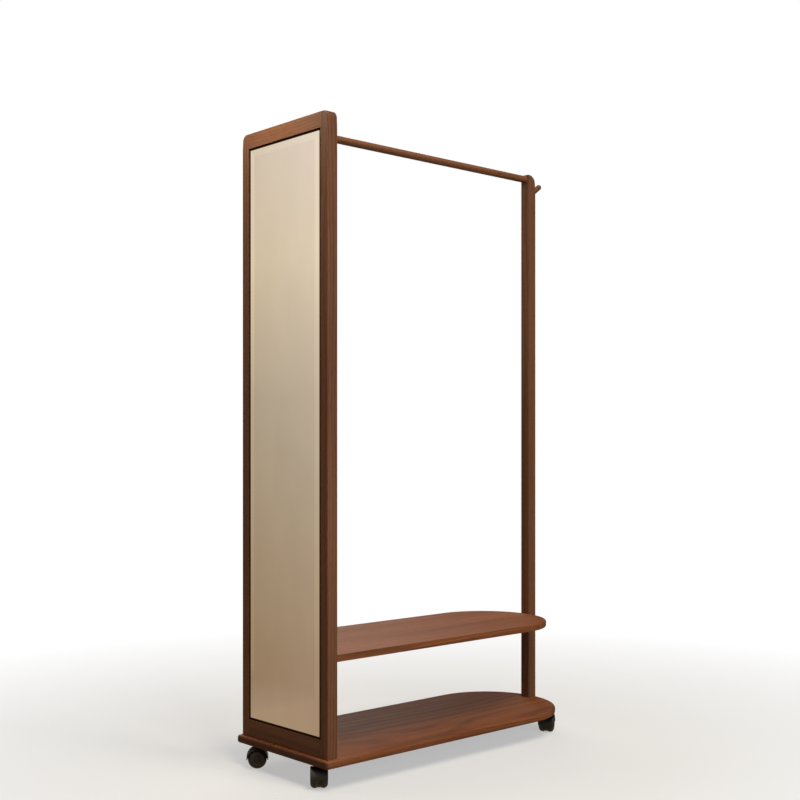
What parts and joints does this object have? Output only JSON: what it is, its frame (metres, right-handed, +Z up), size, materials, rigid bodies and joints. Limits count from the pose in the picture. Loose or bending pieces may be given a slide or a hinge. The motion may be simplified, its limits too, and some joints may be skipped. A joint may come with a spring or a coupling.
{
  "type": "floor mirror with coat rack",
  "caption": "Rolling hall stand: a framed full-height mirror at one end, a post with a coat peg at the other, a hanging rail between them, a shelf and a base board on swivel casters.",
  "frame": {"origin": "on the floor, in the middle of the box round the object", "axes": "+X from the mirror towards the post, +Y from the front, as pictured, to the back, +Z up"},
  "size_m": [1.0276, 0.392, 1.6985],
  "materials": {
    "walnut_wood": "satin lacquer",
    "panel_wood": "satin lacquer",
    "dowel_wood": "raw, fluted",
    "mirror": "silvered, bevelled edge",
    "foam": "matte foam",
    "steel": "zinc-plated",
    "zinc": "die-cast, plain",
    "brown_plastic": "matte",
    "black_plastic": "satin",
    "wheel_plastic": "satin"
  },
  "bodies": {
    "stand": {"front_stile": "walnut_wood", "back_stile": "walnut_wood", "top_rail": "walnut_wood", "bottom_rail": "walnut_wood", "frame_dowels": "dowel_wood", "mirror_glass": "mirror", "mirror_foam_sheet": "foam", "back_panel": "panel_wood", "back_panel_screws": "steel", "post": "walnut_wood", "coat_peg": "walnut_wood", "hanging_rail": "walnut_wood", "rail_screw": "steel", "shelf_board": "walnut_wood", "shelf_dowels": "dowel_wood", "shelf_cam_bolts": "steel", "shelf_cams": "zinc", "shelf_post_screw": "steel", "post_screw_cap": "brown_plastic", "base_board": "walnut_wood", "frame_base_screws": "steel", "post_base_bolt": "steel", "post_insert_nut": "zinc", "caster_insert_nuts": "zinc", "front_left_caster_stem": "steel", "back_left_caster_stem": "steel", "front_right_caster_stem": "steel", "back_right_caster_stem": "steel"},
    "front_left_caster": {"front_left_caster_hood": "black_plastic", "front_left_caster_axle": "steel"},
    "front_left_wheel_a": {"front_left_wheel_a": "wheel_plastic"},
    "front_left_wheel_b": {"front_left_wheel_b": "wheel_plastic"},
    "back_left_caster": {"back_left_caster_hood": "black_plastic", "back_left_caster_axle": "steel"},
    "back_left_wheel_a": {"back_left_wheel_a": "wheel_plastic"},
    "back_left_wheel_b": {"back_left_wheel_b": "wheel_plastic"},
    "front_right_caster": {"front_right_caster_hood": "black_plastic", "front_right_caster_axle": "steel"},
    "front_right_wheel_a": {"front_right_wheel_a": "wheel_plastic"},
    "front_right_wheel_b": {"front_right_wheel_b": "wheel_plastic"},
    "back_right_caster": {"back_right_caster_hood": "black_plastic", "back_right_caster_axle": "steel"},
    "back_right_wheel_a": {"back_right_wheel_a": "wheel_plastic"},
    "back_right_wheel_b": {"back_right_wheel_b": "wheel_plastic"}
  },
  "joints": [
    {"name": "front_left_swivel", "type": "hinge", "parent": "stand", "child": "front_left_caster", "pos_m": [-0.46663, -0.1225, 0.0595], "axis": [0, 0, 1], "continuous": true},
    {"name": "front_left_wheel_a_roll", "type": "hinge", "parent": "front_left_caster", "child": "front_left_wheel_a", "pos_m": [-0.47463, -0.13274, 0.025], "axis": [0.788, -0.6157, 0], "continuous": true},
    {"name": "front_left_wheel_b_roll", "type": "hinge", "parent": "front_left_caster", "child": "front_left_wheel_b", "pos_m": [-0.47463, -0.13274, 0.025], "axis": [0.788, -0.6157, 0], "continuous": true},
    {"name": "back_left_swivel", "type": "hinge", "parent": "stand", "child": "back_left_caster", "pos_m": [-0.46663, 0.1225, 0.0595], "axis": [0, 0, 1], "continuous": true},
    {"name": "back_left_wheel_a_roll", "type": "hinge", "parent": "back_left_caster", "child": "back_left_wheel_a", "pos_m": [-0.47714, 0.13014, 0.025], "axis": [-0.5878, -0.809, 0], "continuous": true},
    {"name": "back_left_wheel_b_roll", "type": "hinge", "parent": "back_left_caster", "child": "back_left_wheel_b", "pos_m": [-0.47714, 0.13014, 0.025], "axis": [-0.5878, -0.809, 0], "continuous": true},
    {"name": "front_right_swivel", "type": "hinge", "parent": "stand", "child": "front_right_caster", "pos_m": [0.41637, -0.1135, 0.0595], "axis": [0, 0, 1], "continuous": true},
    {"name": "front_right_wheel_a_roll", "type": "hinge", "parent": "front_right_caster", "child": "front_right_wheel_a", "pos_m": [0.40547, -0.12058, 0.025], "axis": [0.5446, -0.8387, 0], "continuous": true},
    {"name": "front_right_wheel_b_roll", "type": "hinge", "parent": "front_right_caster", "child": "front_right_wheel_b", "pos_m": [0.40547, -0.12058, 0.025], "axis": [0.5446, -0.8387, 0], "continuous": true},
    {"name": "back_right_swivel", "type": "hinge", "parent": "stand", "child": "back_right_caster", "pos_m": [0.41637, 0.1135, 0.0595], "axis": [0, 0, 1], "continuous": true},
    {"name": "back_right_wheel_a_roll", "type": "hinge", "parent": "back_right_caster", "child": "back_right_wheel_a", "pos_m": [0.41974, 0.12606, 0.025], "axis": [-0.9659, 0.2588, 0], "continuous": true},
    {"name": "back_right_wheel_b_roll", "type": "hinge", "parent": "back_right_caster", "child": "back_right_wheel_b", "pos_m": [0.41974, 0.12606, 0.025], "axis": [-0.9659, 0.2588, 0], "continuous": true}
  ]
}
